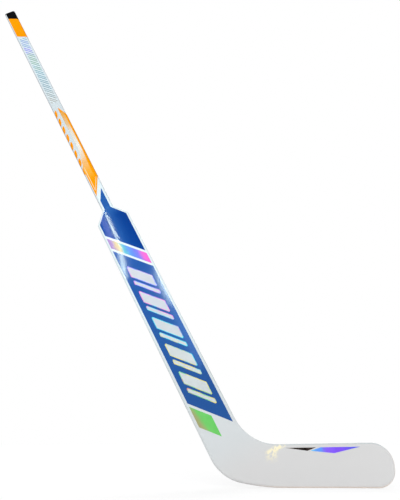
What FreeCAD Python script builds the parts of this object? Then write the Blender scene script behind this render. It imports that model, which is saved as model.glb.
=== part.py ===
"""Composite hockey goalie stick that stands on the sole of its blade.

X runs from heel to toe, Y from the forehand face to the backhand face, and Z up.
The origin is on the flat of the sole, near its heel end and halfway through the blade.
"Stick coordinates" are w, across the paddle towards the toe, and s, up the shaft's axis
from the plane of the sole. A point of either plane is a Vector with its Y at zero.
"""
import FreeCAD
import Part
import math
import os

from FreeCAD import Vector

# Whole stick
lie_angle = 27.4              # lean of the shaft from the vertical, in degrees
stick_length = 1510.0         # sole to butt end, along the axis of the shaft
shaft_width = 31.0
body_thickness = 21.0         # of the shaft, the paddle and the heel
edge_radius = 5.5             # rounding of every long edge
edge_limit_share = 0.46       # most of the toe's thickness that one edge may round
skin = 1.2                    # laminate of the paddle and blade
bond_line = 0.15              # adhesive between a laminate or wrap and what it covers
overrun = 60.0                # how far a cut reaches past what it cuts

# Paddle
paddle_width = 89.0           # at the heel
paddle_top_width = 86.5       # below the shoulders
paddle_length = 719.5         # sole to the top of the full width
shoulder_rise = 33.5          # from the full width up to the shaft's width
shoulder_outer_radius = 9.0
shoulder_inner_radius = 12.0
neck_length = 16.0            # collar of laminate above the shoulder

# Blade
toe_reach = 222.0             # origin to the end of the toe
blade_height = 92.5           # sole to top edge, at the toe
top_edge_slope = 0.9          # fall of the top edge towards the heel, in degrees
toe_low_radius = 38.0
toe_high_radius = 46.0
toe_limit_share = 0.98        # most of the blade's height that the two toe radii may take
throat_radius = 105.0         # between the paddle and the top edge
heel_radius = 95.0
heel_straight = 2.0           # between the heel's two curves
rocker_radius = 500.0         # long curve from the heel to the sole
rocker_angle = 11.0           # turn of that curve, in degrees
heel_rest = 15.0              # flat of the sole behind the origin
curve_start = 25.0            # where the blade begins to curve
curve_depth = 16.0            # forward reach of the curve at the toe
toe_thickness = 13.0

# Shaft tube
shaft_wall = 2.4
tenon_length = 140.0          # stretch of the tube inside the paddle

# Foam cores and the webs between them
core_shoulder_gap = 14.0      # from the paddle cores up to the top of the shoulder
paddle_core_foot = 150.0      # sole to the lower end of the paddle cores, along the axis
paddle_web_thickness = 1.6
blade_core_start = -35.0      # where the heel core gives way to the blade cores
stringer_height = 44.0        # middle of the blade stringer above the sole
stringer_thickness = 1.6

# End plug
plug_head_length = 6.0
plug_head_round = 3.0
plug_stem_length = 45.0
plug_clearance = 0.25
plug_wall = 2.2
plug_lead_in = 1.5
plug_groove_count = 3
plug_groove_width = 2.0
plug_groove_depth = 0.6

# Printed films on the paddle
film = 0.15
film_margin = 8.0             # white border along the paddle's edges, at the heel
film_top_margin = 5.75        # the same below the shoulders, and along them
film_gap = 8.0                # white line between two films
film_slant = 100.0            # fall of a slanted film edge from the heel side to the toe side
crown_foot_share = 0.891      # of the paddle's length, at the middle of a slanted edge
panel_foot_share = 0.2436
band_length = 31.0
heel_foil_length = 50.0
heel_foil_width = 36.0

# Printed films on the shaft, placed by shares of its bare length
butt_wrap_length = 25.0       # at the middle, from the end of the tube down
wrap_gap = 0.3                # hairline between the two wraps at the butt end
upper_wrap_foot_share = 0.8585
shaft_foil_top_share = 0.8478
shaft_foil_foot_share = 0.4899
lower_wrap_tip_share = 0.4627
lower_wrap_toe_share = 0.42   # where its slanted top meets the toe-side edge
lower_wrap_narrow_share = 0.2396
lower_wrap_full_share = 0.1581
lower_wrap_foot_share = 0.0728
lower_wrap_offset = 0.5       # edge of its narrow stretch, from the middle of the shaft
shaft_foil_margin = 5.75      # from the shaft's edges
wrap_margin = 3.5             # bare strip along the heel-side edge of a wrap
neck_margin = 7.0             # white border of the crown film along the neck
neck_slant = 64.0             # rise of the lower wrap's end from the heel side to the toe side
neck_gap = 24.0               # between the lower wrap and the crown film, along the axis

# Printed films on the blade: corners by shares of the toe's reach and of the films' height
blade_film_margin = 8.0       # from the blade's top edge
blade_film_height = 12.5
dark_film_shares = ((-0.06, 0), (0.163, 0.54), (0.25, 0))
violet_foil_shares = ((0.295, 0), (0.192, 0.54), (0.426, 1), (0.684, 0))

# Values that follow from those above
edge_round = min(edge_radius, edge_limit_share * toe_thickness)
toe_fit = min(1, toe_limit_share * blade_height / (toe_low_radius + toe_high_radius))
half_thickness = body_thickness / 2
half_paddle = paddle_width / 2
half_paddle_top = paddle_top_width / 2
half_shaft = shaft_width / 2
shoulder_top = paddle_length + shoulder_rise
neck_top = shoulder_top + neck_length
tube_top = stick_length - plug_head_length
tenon_foot = neck_top - tenon_length
cut_depth = body_thickness + curve_depth + overrun
lie = math.radians(lie_angle)
UP = Vector(0, 0, 1)
FORWARD = Vector(0, -1, 0)


def flat(across, up):
    """Point of a plane at right angles to Y."""
    return Vector(across, 0, up)


def heel_corner():
    """Where the heel-side edge of the paddle would meet the line of the rocker."""
    turn = math.radians(rocker_angle)
    heel_turn = math.pi / 2 - lie - turn
    rocker_tangent = rocker_radius * math.tan(turn / 2)
    run = rocker_tangent + heel_straight + heel_radius * math.tan(heel_turn / 2)
    back = heel_rest + rocker_tangent + run * math.cos(turn)
    return flat(-back, run * math.sin(turn))


def stick_frame():
    """Placement that carries stick coordinates to where the stick stands."""
    corner = heel_corner()
    foot = corner.x + corner.z * math.tan(lie) + half_paddle / math.cos(lie)
    return FreeCAD.Placement(flat(foot, 0), FreeCAD.Rotation(FORWARD, lie_angle))


def on_stick(w, s):
    """Point at the stick coordinates w and s."""
    return stick_frame().multVec(flat(w, s))


def placed(shape):
    """A shape modelled in stick coordinates, carried to where the stick stands."""
    return shape.transformed(stick_frame().toMatrix(), True)


def block(low, high):
    """Block between two corners that passes through the whole thickness."""
    corner = low + FORWARD * cut_depth
    return Part.makeBox(high.x - low.x, cut_depth + cut_depth, high.z - low.z, corner)


def crossing(line_a, line_b):
    """Where two lines, each given by two of its points, cross."""
    start = line_a[0]
    along_a = line_a[1] - start
    along_b = line_b[1] - line_b[0]
    gap = line_b[0] - start
    scale = along_a.x * along_b.z - along_a.z * along_b.x
    return start + along_a * ((gap.x * along_b.z - gap.z * along_b.x) / scale)


def body_corners():
    """Corners of the paddle and blade, counterclockwise, each with its radius."""
    toe_shoulder = on_stick(half_paddle_top, paddle_length)
    toe_side = (on_stick(half_paddle, 0), toe_shoulder)
    toe_top = flat(toe_reach, blade_height)
    slope = math.radians(top_edge_slope)
    top_edge = (toe_top, toe_top - flat(toe_reach, toe_reach * math.tan(slope)))
    rocker_tangent = rocker_radius * math.tan(math.radians(rocker_angle) / 2)
    neck_end = neck_top + overrun
    return [
        (flat(-heel_rest - rocker_tangent, 0), rocker_radius),
        (flat(toe_reach, 0), toe_low_radius * toe_fit),
        (toe_top, toe_high_radius * toe_fit),
        (crossing(top_edge, toe_side), throat_radius),
        (toe_shoulder, shoulder_outer_radius),
        (on_stick(half_shaft, shoulder_top), shoulder_inner_radius),
        (on_stick(half_shaft, neck_end), 0),
        (on_stick(-half_shaft, neck_end), 0),
        (on_stick(-half_shaft, shoulder_top), shoulder_inner_radius),
        (on_stick(-half_paddle_top, paddle_length), shoulder_outer_radius),
        (heel_corner(), heel_radius),
    ]


def with_directions(corners):
    """Each corner with its radius and the directions in which the outline comes and goes."""
    for i, (point, radius) in enumerate(corners):
        arriving = (point - corners[i - 1][0]).normalize()
        leaving = (corners[(i + 1) % len(corners)][0] - point).normalize()
        yield point, radius, arriving, leaving


def inset_corners(corners, inset):
    """The corners moved inwards, with the radii that keep the walls even."""
    moved = []
    for point, radius, arriving, leaving in with_directions(corners):
        before = point + arriving.cross(FORWARD) * -inset
        after = point + leaving.cross(FORWARD) * -inset
        corner = crossing((before, before + arriving), (after, after + leaving))
        convex = arriving.cross(leaving).dot(FORWARD) > 0
        moved.append((corner, (radius - inset if convex else radius + inset) if radius else 0))
    return moved


def rounded_wire(corners):
    """Closed wire of straight runs and tangent arcs through rounded corners."""
    stops = []
    for point, radius, arriving, leaving in with_directions(corners):
        half_turn = arriving.getAngle(leaving) / 2
        reach = radius * math.tan(half_turn)
        top = point + (leaving - arriving).normalize() * (radius / math.cos(half_turn) - radius)
        stops.append((point - arriving * reach, top, point + leaving * reach))
    edges = []
    for i, (start, top, end) in enumerate(stops):
        if start != end:
            edges.append(Part.Arc(start, top, end).toShape())
        edges.append(Part.LineSegment(end, stops[(i + 1) % len(stops)][0]).toShape())
    return Part.Wire(edges)


def through_thickness(wire):
    """Prism of an outline that passes through the whole thickness."""
    face = Part.Face(wire)
    face.translate(FORWARD * cut_depth)
    return face.extrude(FORWARD * (-cut_depth - cut_depth))


def polygon_prism(corners):
    """Through-thickness prism of a polygon."""
    return through_thickness(Part.makePolygon(corners + corners[:1]))


def plan_line(side, inset=0):
    """A face seen from above, flat and then curved: its Y at the heel, and its radius."""
    run = toe_reach - curve_start
    taper = (body_thickness - toe_thickness) / 2
    start, depth, inwards = {
        "front": (-half_thickness, curve_depth - taper, 1),
        "middle": (0, curve_depth, 0),
        "back": (half_thickness, curve_depth + taper, -1),
    }[side]
    radius = (run ** 2 + depth ** 2) / (depth + depth)
    return start + inwards * inset, radius + inwards * inset


def plan_slab(near, far):
    """Slab between two plan lines, longer and taller than the stick."""
    left = on_stick(-half_paddle, stick_length).x - overrun
    right = toe_reach + overrun

    def point(line, x):
        start, radius = line
        return Vector(x, start - radius + math.sqrt(radius ** 2 - (x - curve_start) ** 2), -overrun)

    def curve(line, x_from, x_to):
        ends = (point(line, x_from), point(line, (x_from + x_to) / 2), point(line, x_to))
        return Part.Arc(*ends).toShape()

    def straight(a, b):
        return Part.LineSegment(a, b).toShape()

    near_left = Vector(left, near[0], -overrun)
    far_left = Vector(left, far[0], -overrun)
    outline = Part.Wire([
        straight(near_left, point(near, curve_start)),
        curve(near, curve_start, right),
        straight(point(near, right), point(far, right)),
        curve(far, right, curve_start),
        straight(point(far, curve_start), far_left),
        straight(far_left, near_left),
    ])
    return Part.Face(outline).extrude(UP * (stick_length + overrun + overrun))


def points_forward(direction):
    """Whether a direction lies nearer to the Y axis than to the XZ plane."""
    return abs(direction.dot(FORWARD)) > direction.cross(FORWARD).Length


def body_solid(inset):
    """The paddle and blade as one solid: rounded outside, and bevelled where it is drawn in."""
    slab = plan_slab(plan_line("front", inset), plan_line("back", inset))
    outline = through_thickness(rounded_wire(inset_corners(body_corners(), inset)))
    solid = slab.common(outline).Solids[0]
    neck_end = on_stick(0, neck_top + overrun - inset)
    long_edges = []
    for face in solid.Faces:
        normal = face.normalAt(*face.Surface.parameter(face.CenterOfMass))
        is_neck_end = face.CenterOfMass.distanceToPoint(neck_end) < edge_round
        if not points_forward(normal) and not is_neck_end:
            long_edges += [e for e in face.Edges if not points_forward(e.tangentAt(e.FirstParameter))]
    if inset:
        bevel = (2 - math.sqrt(2)) * (edge_round - inset)
        return solid.makeChamfer(bevel, long_edges)
    return solid.makeFillet(edge_round, long_edges)


def shaft_bar(inset, s_low, s_high):
    """Bar of the shaft's rounded section, drawn in by an inset, in stick coordinates."""
    w = half_shaft - inset
    y = half_thickness - inset
    radius = max(edge_round - inset, 0)
    corners = [(flat(a, b), radius) for a, b in ((-w, -y), (w, -y), (w, y), (-w, y))]
    section = Part.Face(rounded_wire(corners))
    section.rotate(flat(0, 0), Vector(1, 0, 0), -90)
    section.translate(flat(0, s_low))
    return section.extrude(UP * (s_high - s_low))


def shaft_tube():
    """Hollow tube with a thinner tenon that the paddle's laminate covers."""
    grip = shaft_bar(0, neck_top, tube_top)
    tenon = shaft_bar(skin + bond_line, tenon_foot, neck_top)
    bore = shaft_bar(shaft_wall, tenon_foot - overrun, tube_top + overrun)
    return placed(grip.fuse(tenon).cut(bore))


def end_plug():
    """Moulded plug: a rounded head on the tube's end, and a hollow grooved stem in its bore."""
    head = shaft_bar(0, tube_top, stick_length)
    head = head.makeFillet(plug_head_round, [e for e in head.Edges if e.BoundBox.ZMin > tube_top])
    stem_inset = shaft_wall + plug_clearance
    stem_foot = tube_top - plug_stem_length
    stem = shaft_bar(stem_inset, stem_foot, tube_top)
    stem = stem.makeChamfer(plug_lead_in, [e for e in stem.Edges if e.BoundBox.ZMax < tube_top])
    pitch = plug_stem_length / (plug_groove_count + 1)
    for i in range(plug_groove_count):
        low = stem_foot + pitch * (i + 1) - plug_groove_width / 2
        around = shaft_bar(shaft_wall, low, low + plug_groove_width)
        stem = stem.cut(around.cut(shaft_bar(stem_inset + plug_groove_depth, low, low + plug_groove_width)))
    hollow = shaft_bar(stem_inset + plug_wall, stem_foot - overrun, tube_top)
    return placed(head.fuse(stem).cut(hollow))


def laminate_shells():
    """Forehand and backhand halves of the laminate, which meet along the rim."""
    above_neck = placed(block(flat(-paddle_width, neck_top), flat(paddle_width, stick_length)))
    shell = body_solid(0).cut(above_neck).cut(body_solid(skin))
    middle = plan_line("middle")
    front = shell.common(plan_slab(plan_line("front", -overrun), middle))
    back = shell.common(plan_slab(middle, plan_line("back", -overrun)))
    return {"front_shell": front, "back_shell": back}


def foam_and_webs():
    """Foam cores of the paddle, heel and blade, and the stiff webs between them."""
    filling = body_solid(skin + bond_line)
    far = stick_length
    core_top = shoulder_top - core_shoulder_gap
    web = paddle_web_thickness / 2
    socket = half_shaft - skin
    socket_foot = tenon_foot - bond_line
    tenon_room = placed(block(flat(-socket, socket_foot), flat(socket, far)))
    string_low = stringer_height - stringer_thickness / 2
    string_high = stringer_height + stringer_thickness / 2

    def paddle_piece(w_low, w_high, s_high):
        return filling.common(placed(block(flat(w_low, paddle_core_foot), flat(w_high, s_high))))

    def blade_piece(z_low, z_high):
        return filling.common(block(flat(blade_core_start, z_low), flat(far, z_high)))

    below_paddle = placed(block(flat(-far, -far), flat(far, paddle_core_foot)))
    behind_blade = block(flat(-far, -far), flat(blade_core_start, far))
    return {
        "paddle_core_heel_side": paddle_piece(-far, -web, core_top).cut(tenon_room),
        "paddle_core_toe_side": paddle_piece(web, far, core_top).cut(tenon_room),
        "paddle_web": paddle_piece(-web, web, socket_foot),
        "heel_core": filling.common(below_paddle).common(behind_blade),
        "blade_core_lower": blade_piece(-far, string_low),
        "blade_stringer": blade_piece(string_low, string_high),
        "blade_core_upper": blade_piece(string_high, far),
    }


def paddle_film_outlines():
    """Outlines of the films on each side of the paddle, in stick coordinates."""
    edge_foot = half_paddle - film_margin
    edge_top = half_paddle_top - film_top_margin
    neck = half_shaft - neck_margin
    rim = math.hypot(half_paddle_top - half_shaft, shoulder_rise)
    drop = flat(0, film_top_margin * rim / (half_paddle_top - half_shaft))

    def side(sign):
        return (flat(sign * edge_foot, 0), flat(sign * edge_top, paddle_length))

    def shoulder(sign):
        outer = flat(sign * half_paddle_top, paddle_length)
        return (outer - drop, flat(sign * half_shaft, shoulder_top) - drop)

    def neck_side(sign):
        return (flat(sign * neck, paddle_length), flat(sign * neck, neck_top))

    def slant(s):
        return (flat(-half_paddle, s + film_slant / 2), flat(half_paddle, s - film_slant / 2))

    def strip(s_low, s_high, toe_side):
        low, high, heel_side = slant(s_low), slant(s_high), side(-1)
        return [crossing(heel_side, low), crossing(toe_side, low),
                crossing(toe_side, high), crossing(heel_side, high)]

    crown_foot = crown_foot_share * paddle_length
    band_top = crown_foot - film_gap
    band_foot = band_top - band_length
    panel_foot = panel_foot_share * paddle_length
    heel_top = panel_foot - film_gap
    heel_line = (flat(heel_foil_width - edge_foot, 0), flat(heel_foil_width - edge_foot, paddle_length))
    crown_top = neck_slant_line(lower_wrap_foot_share, -neck_gap)
    crown = [crossing(side(-1), slant(crown_foot)), crossing(side(1), slant(crown_foot)),
             crossing(side(1), shoulder(1)), crossing(shoulder(1), neck_side(1)),
             crossing(neck_side(1), crown_top), crossing(neck_side(-1), crown_top),
             crossing(shoulder(-1), neck_side(-1)), crossing(side(-1), shoulder(-1))]
    both_sides = {
        "crown_film": crown,
        "band_foil": strip(band_foot, band_top, side(1)),
        "panel_film": strip(panel_foot, band_foot - film_gap, side(1)),
    }
    return both_sides, strip(heel_top - heel_foil_length, heel_top, heel_line)


def along_shaft(share):
    """Place on the bare shaft, from the paddle's neck to the end plug."""
    return neck_top + share * (tube_top - neck_top)


def level_line(s):
    """Level line across the shaft, at a place on its axis."""
    fall = half_shaft * math.tan(lie)
    return (flat(-half_shaft, s + fall), flat(half_shaft, s - fall))


def neck_slant_line(share, shift=0):
    """Line across the shaft that rises towards the toe side."""
    middle = along_shaft(share) + shift
    return (flat(-half_shaft, middle - neck_slant / 2), flat(half_shaft, middle + neck_slant / 2))


def shaft_wrap(outline):
    """Film round the shaft, open along the heel-side edge, cut to an outline."""
    outside = shaft_bar(-film - bond_line, neck_top, tube_top)
    sleeve = outside.cut(shaft_bar(-bond_line, neck_top, tube_top))
    return placed(sleeve.common(polygon_prism(outline)))


def shaft_films(front_layer):
    """The three wraps and the foil of the shaft."""
    bare = wrap_margin - half_shaft
    past = half_shaft + overrun
    bare_line = (flat(bare, 0), flat(bare, stick_length))
    past_line = (flat(past, 0), flat(past, stick_length))
    butt_foot = level_line(tube_top - butt_wrap_length)
    butt = [crossing(bare_line, butt_foot), crossing(past_line, butt_foot),
            flat(past, tube_top), flat(bare, tube_top)]
    upper_top = level_line(tube_top - butt_wrap_length - wrap_gap)
    upper_foot = level_line(along_shaft(upper_wrap_foot_share))
    upper = [crossing(bare_line, upper_foot), crossing(past_line, upper_foot),
             crossing(past_line, upper_top), crossing(bare_line, upper_top)]
    foot_line = neck_slant_line(lower_wrap_foot_share)
    tip = flat(lower_wrap_offset, along_shaft(lower_wrap_tip_share))
    top_line = (tip, flat(half_shaft, along_shaft(lower_wrap_toe_share)))
    lower = [crossing(bare_line, foot_line), crossing(past_line, foot_line),
             crossing(past_line, top_line), tip,
             flat(lower_wrap_offset, along_shaft(lower_wrap_narrow_share)),
             flat(bare, along_shaft(lower_wrap_full_share))]
    half_foil = half_shaft - shaft_foil_margin
    foil_foot = along_shaft(shaft_foil_foot_share)
    foil_top = along_shaft(shaft_foil_top_share)
    foil = block(flat(-half_foil, foil_foot), flat(half_foil, foil_top))
    return {
        "butt_wrap": shaft_wrap(butt),
        "upper_wrap": shaft_wrap(upper),
        "lower_wrap": shaft_wrap(lower),
        "shaft_foil": front_layer.common(placed(foil)),
    }


def blade_film(front_layer, corner_shares):
    """Slim film below the blade's top edge."""
    corners = []
    for along, down in corner_shares:
        x = toe_reach * along
        fall = (toe_reach - x) * math.tan(math.radians(top_edge_slope))
        corners.append(flat(x, blade_height - fall - blade_film_margin - blade_film_height * down))
    return front_layer.common(polygon_prism(corners))


def printed_films():
    """All the films, each as thick as its ink and foil."""
    front_layer = plan_slab(plan_line("front", -film), plan_line("front"))
    back_layer = plan_slab(plan_line("back"), plan_line("back", -film))
    films = shaft_films(front_layer)
    both_sides, heel_outline = paddle_film_outlines()
    for name, outline in both_sides.items():
        prism = placed(polygon_prism(outline))
        films[name + "_front"] = front_layer.common(prism)
        films[name + "_back"] = back_layer.common(prism)
    films["heel_foil"] = front_layer.common(placed(polygon_prism(heel_outline)))
    films["dark_film"] = blade_film(front_layer, dark_film_shares)
    films["violet_foil"] = blade_film(front_layer, violet_foil_shares)
    return films


nodes = {"shaft_tube": shaft_tube(), "end_plug": end_plug()}
nodes.update(laminate_shells())
nodes.update(foam_and_webs())
nodes.update(printed_films())
os.makedirs("parts", exist_ok=True)
for name, shape in nodes.items():
    shape.exportStep("parts/" + name + ".step")
    print(name, len(shape.Solids), "solid", "valid" if shape.isValid() else "invalid", round(shape.Volume))
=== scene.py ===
import math

import bmesh
import bpy
from mathutils import Matrix, Vector


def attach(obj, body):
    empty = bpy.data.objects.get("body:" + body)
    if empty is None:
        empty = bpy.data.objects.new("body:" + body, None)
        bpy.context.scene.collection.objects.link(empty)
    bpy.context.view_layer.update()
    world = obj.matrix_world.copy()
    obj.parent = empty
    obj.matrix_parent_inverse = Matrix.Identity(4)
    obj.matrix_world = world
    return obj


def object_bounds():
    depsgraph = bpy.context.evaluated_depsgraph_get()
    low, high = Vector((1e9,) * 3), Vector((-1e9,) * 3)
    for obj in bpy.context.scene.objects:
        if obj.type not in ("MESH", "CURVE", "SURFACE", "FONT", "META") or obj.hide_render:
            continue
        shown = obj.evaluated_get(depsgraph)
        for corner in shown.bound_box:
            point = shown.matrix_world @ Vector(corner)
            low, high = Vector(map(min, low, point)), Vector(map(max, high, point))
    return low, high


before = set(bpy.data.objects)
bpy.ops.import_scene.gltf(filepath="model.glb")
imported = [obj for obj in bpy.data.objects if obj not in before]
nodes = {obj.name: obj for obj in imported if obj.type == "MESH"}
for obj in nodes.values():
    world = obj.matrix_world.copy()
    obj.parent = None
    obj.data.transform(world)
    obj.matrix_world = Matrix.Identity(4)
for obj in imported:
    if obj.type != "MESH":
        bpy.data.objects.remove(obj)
cad_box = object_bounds()

# The stick's own plane: w runs across the paddle towards the toe, s up the shaft. Lengths are in metres.
LIE = math.radians(27.4)    # lean of the shaft
FOOT = -0.097824            # x where the shaft's middle line meets the ground
FACE = -0.0105              # y of the forehand face of the shaft and paddle
FILM = 0.00015              # thickness of the printed films
SLANT = 100 / 89            # fall of the paddle's slanted film edges towards the toe side

# The photograph's frame and its camera's focal length, in pixels.
WIDE, HIGH = 400, 500
FOCAL = 509.69

# Levels of the stage's light.
FLOOR_COLOUR = (0.82, 0.82, 0.82, 1)
FLOOR_GLOW = 1.2            # brightness of the floor's glow where it is seen plainly
FLOOR_GLOW_SHARE = 0.55     # how much of the floor is glow there
SURROUND = 0.61             # light of the surround on matt surfaces

# Most of a noise texture's values lie between these.
NOISE_LOW, NOISE_HIGH = 0.3, 0.7


def on_stick(w, s, y):
    """Point of the model at the stick coordinates w and s."""
    x = FOOT - s * math.sin(LIE) + w * math.cos(LIE)
    return Vector((x, y, s * math.cos(LIE) + w * math.sin(LIE)))


def rgb(r, g, b):
    """Linear colour of a screen colour given from 0 to 255."""
    def linear(c):
        c /= 255
        return c / 12.92 if c <= 0.04045 else ((c + 0.055) / 1.055) ** 2.4
    return (linear(r), linear(g), linear(b), 1)


class Graph:
    """A node material with a Principled shader and short ways to add to it."""

    def __init__(self, name, **constants):
        self.material = bpy.data.materials.new(name)
        self.material.use_nodes = True
        self.tree = self.material.node_tree
        self.shader = self.tree.nodes["Principled BSDF"]
        for socket, value in constants.items():
            self.shader.inputs[socket.replace("_", " ")].default_value = value
        self.place = self.node("ShaderNodeTexCoord").outputs["Object"]
        shift = (-FOOT * math.cos(LIE), 0, FOOT * math.sin(LIE))
        self.stick = self.node("ShaderNodeMapping", {
            "Vector": self.place, "Location": shift, "Rotation": (0, LIE, 0)}).outputs[0]
        self.w, self.depth, self.s = self.node("ShaderNodeSeparateXYZ", {"Vector": self.stick}).outputs

    def node(self, kind, inputs=None, **settings):
        """A node with its inputs wired or set."""
        made = self.tree.nodes.new(kind)
        for key, value in settings.items():
            setattr(made, key, value)
        for key, value in (inputs or {}).items():
            if isinstance(value, bpy.types.NodeSocket):
                self.tree.links.new(value, made.inputs[key])
            else:
                made.inputs[key].default_value = value
        return made

    def math(self, operation, a, b=0.0, c=0.0):
        return self.node("ShaderNodeMath", {0: a, 1: b, 2: c}, operation=operation).outputs[0]

    def line(self, w_share, s_share, start=0.0):
        """Sum of shares of w and s, from a start."""
        up = self.math("MULTIPLY_ADD", self.s, s_share, -start)
        return self.math("MULTIPLY_ADD", self.w, w_share, up)

    def fade(self, value, low, high):
        """0 at low and 1 at high, smooth between, whichever of the two is larger."""
        return self.share(value, low, high, interpolation_type="SMOOTHSTEP")

    def share(self, value, low, high, **settings):
        """0 at low and 1 at high, in a straight line between."""
        made = self.node("ShaderNodeMapRange", {
            "Value": value, "From Min": low, "From Max": high}, **settings)
        return made.outputs[0]

    def both(self, *masks):
        """Where all the masks are."""
        product = masks[0]
        for mask in masks[1:]:
            product = self.math("MULTIPLY", product, mask)
        return product

    def noise(self, scale, detail=3.0):
        return self.node("ShaderNodeTexNoise", {
            "Vector": self.place, "Scale": scale, "Detail": detail}).outputs["Fac"]

    def ramp(self, value, stops):
        """Colour that eases from stop to stop."""
        made = self.node("ShaderNodeValToRGB", {"Fac": value})
        band = made.color_ramp
        band.interpolation = "EASE"
        while len(band.elements) < len(stops):
            band.elements.new(0.5)
        for element, (at, colour) in zip(band.elements, stops):
            element.position = at
            element.color = colour
        return made.outputs["Color"]

    def mix(self, factor, a, b, blend="MIX"):
        made = self.node("ShaderNodeMix", data_type="RGBA", blend_type=blend)
        for key, value in (("Factor", factor), ("A", a), ("B", b)):
            socket = next(i for i in made.inputs if i.name == key and i.enabled)
            if isinstance(value, bpy.types.NodeSocket):
                self.tree.links.new(value, socket)
            else:
                socket.default_value = value
        return next(o for o in made.outputs if o.enabled)

    def colour(self, value, mottle=0.03, scale=26):
        """Base colour with a faint drift in its tone."""
        low = 1 - mottle
        drift = self.ramp(self.noise(scale), [
            (NOISE_LOW, (low, low, low, 1)), (NOISE_HIGH, (1, 1, 1, 1))])
        self.wire("Base Color", self.mix(1.0, value, drift, "MULTIPLY"))

    def wire(self, socket, value):
        self.tree.links.new(value, self.shader.inputs[socket])

    def relief(self, height, strength, distance):
        bump = self.node("ShaderNodeBump", {
            "Height": height, "Strength": strength, "Distance": distance})
        self.wire("Normal", bump.outputs[0])

    def gloss(self, low, high, scale):
        """Roughness that drifts between two values."""
        made = self.node("ShaderNodeMapRange", {
            "Value": self.noise(scale), "From Min": NOISE_LOW, "From Max": NOISE_HIGH,
            "To Min": low, "To Max": high})
        self.wire("Roughness", made.outputs[0])


def white_paint(name, rim):
    """Clear-coated white over a fine weave, with light and shade painted into its colour. The rim says
    how far its sides turn grey with painted shade.
    """
    g = Graph(name, Coat_Weight=0.08, Coat_Roughness=0.08, Specular_IOR_Level=0.5)
    # Painted light falloff: grey on the blade, cool on the paddle, and a little darker on the shaft.
    tone = g.ramp(g.share(g.s, 0.0, 1.25), [
        (0.016, rgb(211, 211, 211)), (0.093, rgb(209, 214, 216)), (0.177, rgb(211, 219, 220)),
        (0.4, rgb(222, 236, 240)), (0.66, rgb(220, 234, 238)), (0.74, rgb(208, 220, 224)),
        (0.86, rgb(207, 219, 224)), (1, rgb(215, 228, 234))])
    facing = g.node("ShaderNodeTexCoord").outputs["Normal"]
    normal = g.node("ShaderNodeSeparateXYZ", {"Vector": facing}).outputs
    x, _, z = g.node("ShaderNodeSeparateXYZ", {"Vector": g.place}).outputs
    # Painted light and shade: warm painted bounce light under the sole, painted warm light on the toe
    # end, and painted shade that greys the top of the blade.
    blade = g.fade(x, -0.12, 0.0)
    # Painted bounce light, warm, on faces turned down under the sole.
    painted_bounce_light = g.both(g.fade(normal[2], -0.25, -0.8), blade)
    tone = g.mix(g.math("MULTIPLY", painted_bounce_light, 0.9), tone, rgb(248, 234, 222))
    # Painted warm light on the faces of the toe end.
    end = g.both(g.fade(normal[0], 0.4, 0.8), g.fade(x, 0.12, 0.2))
    tone = g.mix(g.math("MULTIPLY", end, 0.6), tone, rgb(234, 224, 212))
    # Painted shade on faces turned up on top of the blade.
    painted_top_shade = g.both(g.fade(normal[2], 0.3, 0.8), blade)
    tone = g.mix(g.math("MULTIPLY", painted_top_shade, 0.8), tone, rgb(188, 198, 200))
    # A painted glint near the throat: a broken cream fleck of reflected light, whose upper part leans
    # towards the toe.
    rise = g.math("MAXIMUM", g.math("SUBTRACT", z, 0.0733), 0.0)
    middle = g.math("MULTIPLY_ADD", rise, 1.7, -0.0435)
    off = g.math("ABSOLUTE", g.math("SUBTRACT", x, middle))
    painted_glint = g.both(g.fade(off, 0.017, 0.006), g.fade(z, 0.046, 0.078), g.fade(z, 0.092, 0.085),
                   g.fade(g.depth, -0.004, -0.008), g.fade(g.noise(170, 5), 0.38, 0.52))
    tone = g.mix(g.math("MULTIPLY", painted_glint, 0.9), tone, rgb(252, 243, 205))
    # Painted shade: the sides of the paddle and shaft turn grey, as far as the rim says, but not near
    # the blade.
    side = g.both(g.fade(g.math("ABSOLUTE", g.depth), 0.0100, 0.0070), g.fade(g.s, 0.1, 0.22))
    tone = g.mix(g.math("MULTIPLY", side, rim), tone, rgb(172, 178, 187))
    g.colour(tone, 0.008, 9)
    g.gloss(0.5, 0.6, 40)
    weave = g.node("ShaderNodeTexWave", {"Vector": g.stick, "Scale": 160.0}, bands_direction="DIAGONAL")
    height = g.math("MULTIPLY_ADD", weave.outputs["Fac"], 0.25, g.noise(600, 2))
    g.relief(height, 0.03, 0.0004)
    return g.material


def print_gloss(name, coat=0.12, haze=0.085):
    """Clear-coated ink. The caller gives its colour."""
    g = Graph(name, Coat_Weight=coat, Coat_Roughness=haze, Specular_IOR_Level=0.0)
    g.gloss(0.2, 0.28, 60)
    g.relief(g.noise(900, 2), 0.02, 0.0004)
    return g


def crown_blue(name):
    """Blue of the shoulders with painted light: deeper towards the toe side and paler on the neck."""
    g = print_gloss(name)
    # Painted light: paler towards the heel side, deeper towards the toe side.
    across = g.share(g.line(1.0, 0.15, 0.105), -0.03, 0.04)
    face = g.ramp(across, [(0, rgb(4, 76, 164)), (1, rgb(0, 62, 147))])
    g.colour(g.mix(g.fade(g.s, 0.72, 0.76), face, rgb(38, 96, 174)))
    return g.material


def panel_blue(name):
    """Blue of the long panel, with painted shade that dulls it towards the heel."""
    g = print_gloss(name, 0.5, 0.135)
    g.colour(g.ramp(g.share(g.s, 0.6, 0.2), [
        (0, rgb(0, 84, 171)), (0.55, rgb(18, 86, 162)), (1, rgb(17, 79, 151))]))
    return g.material


def shade_orange_edges(g, ink):
    """Orange ink with painted shade that deepens it where it turns round the shaft's edges."""
    edge_shade = g.fade(g.math("ABSOLUTE", g.depth), 0.0102, 0.0080)
    return g.mix(edge_shade, ink, rgb(206, 130, 12))


def orange_ink(name):
    g = print_gloss(name, 0.06)
    ink = g.ramp(g.noise(22), [(0.3, rgb(251, 154, 1)), (0.7, rgb(255, 160, 2))])
    g.colour(shade_orange_edges(g, ink))
    return g.material


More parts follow.
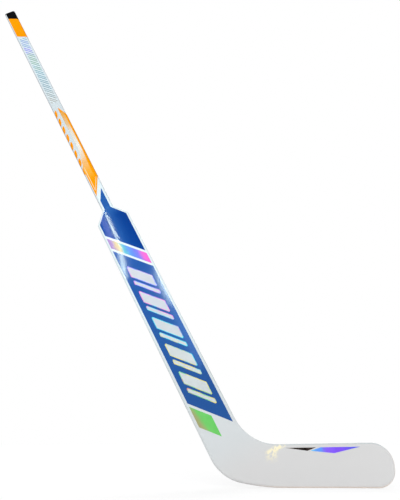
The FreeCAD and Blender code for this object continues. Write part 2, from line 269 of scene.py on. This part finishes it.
def wedge_ink(name):
    """Orange that fades to a pale middle up the shaft, a painted highlight of glare, with a fine pale
    keyline round its foot.
    """
    g = print_gloss(name, 0.06)
    reach = g.node("ShaderNodeMapRange", {
        "Value": g.s, "From Min": 0.89, "From Max": 0.95, "To Min": 0.007, "To Max": 0.0098}).outputs[0]
    inner = g.fade(g.math("SUBTRACT", g.w, reach), 0.0012, -0.0012)
    # Painted highlight: the pale middle stands in for glare along the wedge.
    painted_glare = g.ramp(g.share(g.s, 0.85, 1.11), [
        (0.0, rgb(255, 162, 8)), (0.10, rgb(254, 178, 62)), (0.22, rgb(246, 190, 118)),
        (0.32, rgb(238, 216, 188)), (0.41, rgb(238, 238, 230)), (0.61, rgb(230, 226, 214)),
        (0.77, rgb(228, 190, 138)), (0.9, rgb(234, 173, 88)), (0.94, rgb(250, 158, 10))])
    orange = shade_orange_edges(g, g.mix(inner, rgb(250, 160, 2), painted_glare))

    def stroke(value, at, half):
        off = g.math("ABSOLUTE", g.math("SUBTRACT", value, at))
        return g.fade(off, half, half * 0.6)

    foot = g.line(-64 / 31, 1.0)    # s, less the slant of the wedge's lower end
    side = g.both(stroke(g.w, -0.0076, 0.0009), g.fade(g.s, 0.9, 0.88), g.fade(foot, 0.8315, 0.8325))
    low = g.both(stroke(foot, 0.832, 0.0016), g.fade(g.w, -0.0084, -0.0076), g.fade(g.w, 0.0105, 0.0095))
    keyline = g.math("MAXIMUM", side, low)
    g.colour(g.mix(g.math("MULTIPLY", keyline, 0.9), orange, rgb(250, 232, 205)))
    return g.material


def black_ink(name):
    g = print_gloss(name, 0.08)
    g.colour(g.ramp(g.noise(60), [(0.35, rgb(2, 2, 3)), (0.7, rgb(12, 12, 14))]))
    return g.material


def dark_ink(name):
    g = print_gloss(name)
    x = g.node("ShaderNodeSeparateXYZ", {"Vector": g.place}).outputs[0]
    g.colour(g.ramp(g.fade(x, -0.014, 0.05), [
        (0.0, rgb(140, 134, 130)), (0.3, rgb(62, 56, 52)), (0.8, rgb(34, 28, 26)),
        (1, rgb(70, 60, 56))]))
    return g.material


def rubber(name):
    g = Graph(name, Specular_IOR_Level=0.1)
    g.colour(g.ramp(g.noise(260, 4), [(0.3, rgb(4, 4, 5)), (0.7, rgb(14, 14, 16))]))
    g.gloss(0.4, 0.6, 300)
    g.relief(g.noise(1500, 3), 0.2, 0.0005)
    return g.material


def foam(name):
    g = Graph(name, Specular_IOR_Level=0.2)
    cells = g.node("ShaderNodeTexVoronoi", {"Vector": g.place, "Scale": 700.0}).outputs["Distance"]
    g.colour(g.ramp(cells, [(0.0, rgb(205, 196, 170)), (0.8, rgb(232, 226, 205))]))
    g.gloss(0.8, 0.95, 300)
    g.relief(cells, 0.3, 0.001)
    return g.material


def carbon(name):
    g = Graph(name, Coat_Weight=0.6, Coat_Roughness=0.1)
    twill = g.node("ShaderNodeTexWave", {"Vector": g.stick, "Scale": 110.0}, bands_direction="DIAGONAL")
    g.colour(g.ramp(twill.outputs["Fac"], [(0.2, rgb(16, 16, 18)), (0.8, rgb(52, 52, 55))]))
    g.gloss(0.3, 0.5, 200)
    g.relief(twill.outputs["Fac"], 0.2, 0.0003)
    return g.material


def foil(name, shares, span, stops, wander=0.2, metal=0.1):
    """Bright foil whose colours run along a direction of the stick's plane."""
    g = Graph(name, Metallic=metal, Coat_Weight=0.05, Coat_Roughness=0.06, Specular_IOR_Level=0.2)
    low, high = span
    drift = g.math("MULTIPLY_ADD", g.noise(40, 2), wander, -wander / 2)
    along = g.math("MULTIPLY_ADD", g.line(shares[0], shares[1], low), 1 / (high - low), drift)
    g.colour(g.ramp(along, stops), 0.05, 60)
    g.gloss(0.42, 0.54, 80)
    g.relief(g.noise(500, 2), 0.04, 0.0005)
    return g


def hatched_foil(name):
    """White with slanted iridescent strokes, lilac towards the butt end and teal lower down."""
    g = foil(name, (0.4, 1.0), (1.14, 1.4), [
        (0.0, rgb(168, 168, 160)), (0.2, rgb(120, 160, 176)), (0.45, rgb(116, 172, 190)),
        (0.62, rgb(128, 172, 150)), (0.82, rgb(136, 132, 232)), (1.0, rgb(126, 176, 206))], 0.5, 0.0)
    colours = g.shader.inputs["Base Color"].links[0].from_socket
    pitch = 0.0185
    phase = g.math("FRACT", g.math("MULTIPLY", g.line(SLANT, 1.0), 1 / pitch))
    edge = g.math("ABSOLUTE", g.math("SUBTRACT", phase, 0.5))
    stroke = g.fade(edge, 0.36, 0.32)
    inside = g.fade(edge, 0.17, 0.13)
    mask = g.math("SUBTRACT", stroke, g.math("MULTIPLY", inside, 0.75))
    g.wire("Base Color", g.mix(mask, rgb(222, 236, 242), colours))
    return g.material


white = white_paint("white_laminate", 0.35)
shaft_white = white_paint("white_shaft", 1.0)
crown = crown_blue("blue_crown")
panel = panel_blue("blue_panel")
orange = orange_ink("orange_print")
wedge = wedge_ink("orange_wedge")
butt = black_ink("black_print")
dark = dark_ink("dark_print")
black = rubber("black_plug")
foam_look = foam("foam_core")
carbon_look = carbon("carbon_web")
band = foil("iridescent_band", (1.0, 0.0), (-0.038, 0.038), [
    (0.05, rgb(168, 132, 200)), (0.24, rgb(232, 212, 158)), (0.38, rgb(88, 190, 216)),
    (0.56, rgb(84, 140, 240)), (0.7, rgb(112, 120, 240)), (0.92, rgb(244, 96, 210))], metal=0.0).material
green = foil("green_foil", (1.0, 0.2), (-0.012, 0.044), [
    (0.0, rgb(206, 140, 132)), (0.2, rgb(164, 166, 116)), (0.46, rgb(112, 204, 104)),
    (1.0, rgb(96, 206, 92))]).material
violet = foil("violet_foil", (0.888, -0.46), (0.128, 0.236), [
    (0.06, rgb(112, 212, 252)), (0.3, rgb(98, 156, 252)), (0.46, rgb(136, 96, 250)),
    (0.7, rgb(128, 84, 246)), (1.0, rgb(92, 96, 240))]).material
silver = hatched_foil("silver_foil")
pearl = foil("pearl_grey", (0.3, 1.0), (0.2, 0.6), [
    (0.0, rgb(206, 214, 216)), (0.3, rgb(210, 218, 219)), (0.6, rgb(205, 213, 222)),
    (1.0, rgb(210, 215, 224))], 0.5, 0.0).material
rim = foil("iridescent_rim", (2.2, 1.0), (0.14, 0.62), [
    (0.0, rgb(240, 120, 130)), (0.14, rgb(120, 210, 150)), (0.28, rgb(236, 222, 120)),
    (0.42, rgb(70, 200, 226)), (0.56, rgb(90, 214, 230)), (0.7, rgb(238, 140, 214)),
    (0.84, rgb(130, 150, 246)), (1.0, rgb(214, 190, 236))], 0.5).material

looks = {
    "shaft_tube": shaft_white, "end_plug": black, "front_shell": white, "back_shell": white,
    "paddle_core_heel_side": foam_look, "paddle_core_toe_side": foam_look, "heel_core": foam_look,
    "blade_core_lower": foam_look, "blade_core_upper": foam_look,
    "paddle_web": carbon_look, "blade_stringer": carbon_look,
    "butt_wrap": butt, "upper_wrap": orange, "lower_wrap": wedge, "shaft_foil": silver,
    "crown_film_front": crown, "crown_film_back": crown,
    "panel_film_front": panel, "panel_film_back": panel,
    "band_foil_front": band, "band_foil_back": band, "heel_foil": green,
    "dark_film": dark, "violet_foil": violet,
}
for name, look in looks.items():
    mesh = nodes[name].data
    mesh.materials.clear()
    mesh.materials.append(look)


def piece(name, build, materials):
    """A piece of the stick made of its own mesh."""
    form = bmesh.new()
    build(form)
    bmesh.ops.recalc_face_normals(form, faces=form.faces[:])
    mesh = bpy.data.meshes.new(name)
    form.to_mesh(mesh)
    form.free()
    for material in materials:
        mesh.materials.append(material)
    made = bpy.data.objects.new(name, mesh)
    bpy.context.scene.collection.objects.link(made)
    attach(made, "stick")


def inset(corners, amount):
    """A convex outline, counterclockwise, drawn in by an amount."""
    moved = []
    for i, corner in enumerate(corners):
        a = (corner - corners[i - 1]).normalized()
        b = (corners[(i + 1) % len(corners)] - corner).normalized()
        turn = a.angle(b) / 2
        moved.append(corner + (b - a).normalized() * amount / math.cos(turn))
    return moved


def rounded(corners, radius, steps=5):
    """The outline with its corners rounded."""
    points = []
    for i, corner in enumerate(corners):
        a = (corner - corners[i - 1]).normalized()
        b = (corners[(i + 1) % len(corners)] - corner).normalized()
        turn = a.angle(b)
        centre = corner + (b - a).normalized() * radius / math.cos(turn / 2)
        start = corner - a * radius * math.tan(turn / 2) - centre
        for k in range(steps + 1):
            angle = turn * k / steps
            points.append(centre + Vector((
                start.x * math.cos(angle) - start.y * math.sin(angle),
                start.x * math.sin(angle) + start.y * math.cos(angle))))
    return points


def panel_bars(form):
    """Five pairs of slanted bars, a wide and a slim, down the forehand panel, each with a bright rim."""
    pairs, first, pitch, gap = 5, 0.558, 0.073, 0.008
    half, wide, slim = 0.024, 0.034, 0.014
    corner, rim_width, inner_corner = 0.0024, 0.0016, 0.0014
    lip_height, crest_height = 0.00006, 0.00010
    surface = FACE - FILM
    tilt = half * SLANT
    for pair in range(pairs):
        top = first - pitch * pair
        for thick in (wide, slim):
            corners = [Vector((-half, top - thick + tilt)), Vector((half, top - thick - tilt)),
                       Vector((half, top - tilt)), Vector((-half, top + tilt))]
            outer = rounded(corners, corner)
            inner = rounded(inset(corners, rim_width), inner_corner)
            foot = [form.verts.new(on_stick(p.x, p.y, surface)) for p in outer]
            lip = [form.verts.new(on_stick(p.x, p.y, surface - lip_height)) for p in outer]
            crest = [form.verts.new(on_stick(p.x, p.y, surface - crest_height)) for p in inner]
            n = len(outer)
            for a, b in ((foot, lip), (lip, crest)):
                for k in range(n):
                    form.faces.new((a[k], a[(k + 1) % n], b[(k + 1) % n], b[k]))
            form.faces.new(crest).material_index = 1
            form.faces.new(foot[::-1])
            top -= thick + gap


def edge_ticks(form):
    """Slim slanted ticks printed over the heel-side edge of the shaft's forehand face."""
    count, first, pitch = 8, 1.0885, 0.0292
    radius, flat_end = 0.0055, -0.010      # rounding of the edge, and w where the flat face ends
    start, width, drop = -0.0028, 0.0092, 0.014
    reach, taper, height = 0.0105, 0.6, 0.00012
    across = 8

    def place(q, s, lift):
        """Point at a distance round the edge from where the flat face ends."""
        if q < 0:
            return on_stick(flat_end - q, s, FACE - lift)
        turn = q / radius
        out = radius + lift
        return on_stick(flat_end - out * math.sin(turn), s, FACE + radius - out * math.cos(turn))

    for i in range(count):
        middle = first - pitch * i
        rows = []
        for k in range(across + 1):
            share = k / across
            q = start + width * share
            centre = middle + drop / 2 - drop * share
            half = reach * (1 - abs(2 * share - 1) ** 2.5 * taper)
            section = ((half, height), (-half, height), (-half, 0), (half, 0))
            rows.append([form.verts.new(place(q, centre + away, lift)) for away, lift in section])
        for a, b in zip(rows, rows[1:]):
            for k in range(4):
                form.faces.new((a[k], a[(k + 1) % 4], b[(k + 1) % 4], b[k]))
        form.faces.new(rows[0])
        form.faces.new(rows[-1][::-1])


piece("panel_bars", panel_bars, (rim, pearl))
piece("edge_ticks", edge_ticks, (orange,))


def link(tree, kind, *sources, **settings):
    """A node of the stage with its first inputs wired or set."""
    made = tree.nodes.new(kind)
    for key, value in settings.items():
        setattr(made, key, value)
    for i, source in enumerate(sources):
        if isinstance(source, bpy.types.NodeSocket):
            tree.links.new(source, made.inputs[i])
        elif source is not None:
            made.inputs[i].default_value = source
    return made.outputs[0]


def seen_plainly(tree):
    """1 for what the camera, mirrors and glass see, and 0 for light on its way to a matt surface."""
    path = tree.nodes.new("ShaderNodeLightPath").outputs
    seen = path["Is Camera Ray"]
    for kind in ("Is Glossy Ray", "Is Transmission Ray"):
        seen = link(tree, "ShaderNodeMath", seen, path[kind], operation="MAXIMUM")
    return seen


def stage():
    """Pale floor that keeps the shadow, and a white surround."""
    size, gap = 40, 0.0003
    corners = [(-size, -size, 0), (size, -size, 0), (size, size, 0), (-size, size, 0)]
    mesh = bpy.data.meshes.new("floor")
    mesh.from_pydata(corners, [], [(0, 1, 2, 3)])
    floor = bpy.data.objects.new("floor", mesh)
    floor.location.z = cad_box[0][2] - gap
    bpy.context.scene.collection.objects.link(floor)
    material = bpy.data.materials.new("floor")
    material.use_nodes = True
    tree = material.node_tree
    tree.nodes.clear()
    diffuse = link(tree, "ShaderNodeBsdfDiffuse", FLOOR_COLOUR)
    glow = link(tree, "ShaderNodeEmission", None, FLOOR_GLOW)
    share = link(tree, "ShaderNodeMath", seen_plainly(tree), FLOOR_GLOW_SHARE, operation="MULTIPLY")
    mixed = link(tree, "ShaderNodeMixShader", share, diffuse, glow)
    output = tree.nodes.new("ShaderNodeOutputMaterial")
    tree.links.new(mixed, output.inputs[0])
    mesh.materials.append(material)

    world = bpy.data.worlds.new("studio")
    bpy.context.scene.world = world
    world.use_nodes = True
    tree = world.node_tree
    level = link(tree, "ShaderNodeMapRange", seen_plainly(tree), 0.0, 1.0, SURROUND, 1.0)
    background = tree.nodes["Background"]
    background.inputs["Color"].default_value = (1, 1, 1, 1)
    tree.links.new(level, background.inputs["Strength"])


def sun(name, azimuth, elevation, level, spread, in_gloss=False):
    """Soft distant lamp. The azimuth is counted from the forehand side towards the toe."""
    light = bpy.data.lights.new(name, "SUN")
    light.energy = level * math.pi
    light.angle = math.radians(spread)
    made = bpy.data.objects.new(name, light)
    a, e = math.radians(azimuth), math.radians(elevation)
    away = Vector((math.sin(a) * math.cos(e), -math.cos(a) * math.cos(e), math.sin(e)))
    made.rotation_euler = (-away).to_track_quat("-Z", "Y").to_euler()
    made.visible_glossy = in_gloss
    bpy.context.scene.collection.objects.link(made)


stage()
sun("key", -14, 26, 0.37, 35)
sun("fill", 30, 14, 0.09, 50)
sun("back", 165, 40, 0.25, 40, True)

view = bpy.data.cameras.new("photo_view")
view.sensor_fit = "VERTICAL"
view.sensor_height = 36
view.lens = view.sensor_height * FOCAL / HIGH
view.clip_end = 200
camera = bpy.data.objects.new("photo_view", view)
camera.location = (-0.19482, -1.22206, 0.08946)
camera.rotation_euler = (math.radians(90 + 20.81), 0, math.radians(0.31))
bpy.context.scene.collection.objects.link(camera)
bpy.context.scene.camera = camera
bpy.context.scene.view_settings.view_transform = "Standard"

MIDDLE = Vector((-0.35, 0, 0.6))    # near the middle of the stick, where the strips face


def mirrored(px, py, depth):
    """Point before the stick that its forehand face mirrors to a place of the picture."""
    turn = camera.rotation_euler.to_matrix()
    ray = turn @ Vector(((px - WIDE / 2) / FOCAL, (HIGH / 2 - py) / FOCAL, -1))
    plane = FACE - FILM
    reach = (depth - camera.location.y) / ray.y
    behind = camera.location + ray * reach
    return Vector((behind.x, plane + plane - behind.y, behind.z))


def strip(name, start, end, width, glare, colour, depth, shape="ELLIPSE"):
    """Slim light that shows in the gloss between two places of the picture, its width in pixels."""
    a, b = mirrored(*start, depth), mirrored(*end, depth)
    along = (b - a).normalized()
    facing = (MIDDLE - (a + b) / 2).normalized()
    side = along.cross(facing).normalized()
    light = bpy.data.lights.new(name, "AREA")
    light.shape = shape
    light.size, light.size_y = (b - a).length, width * (depth - camera.location.y) / FOCAL
    light.energy = glare * math.pi * light.size * light.size_y
    light.color = colour
    made = bpy.data.objects.new(name, light)
    made.matrix_world = Matrix.Translation((a + b) / 2) @ Matrix(
        (along, side, along.cross(side))).transposed().to_4x4()
    made.visible_camera = False
    made.visible_diffuse = False
    bpy.context.scene.collection.objects.link(made)


NEAR, FAR = 0.2, 0.3     # distances of the strips from the stick
PALE = (0.84, 1.0, 0.8)
LILAC = (0.62, 0.58, 1.0)
AZURE = (0.35, 0.55, 1.0)
SKY = (0.2, 0.7, 1.0)
strip("streak_crown", (104.2, 210.6), (123.5, 252), 3.4, 124, PALE, NEAR)
strip("streak_panel", (119.5, 246), (126, 281), 3.2, 56, PALE, NEAR)
strip("glow_heel", (97, 206), (116, 251), 5.6, 30, LILAC, NEAR, "RECTANGLE")
strip("halo_crown", (107, 206), (128, 252), 8, 4.8, SKY, NEAR)
strip("halo_wide", (108, 204), (130, 254), 15, 2.4, SKY, NEAR)
strip("streak_toe", (156.5, 266), (174, 304), 7, 44, PALE, FAR)
strip("glow_toe", (156, 250), (202, 368), 16, 5, AZURE, FAR)
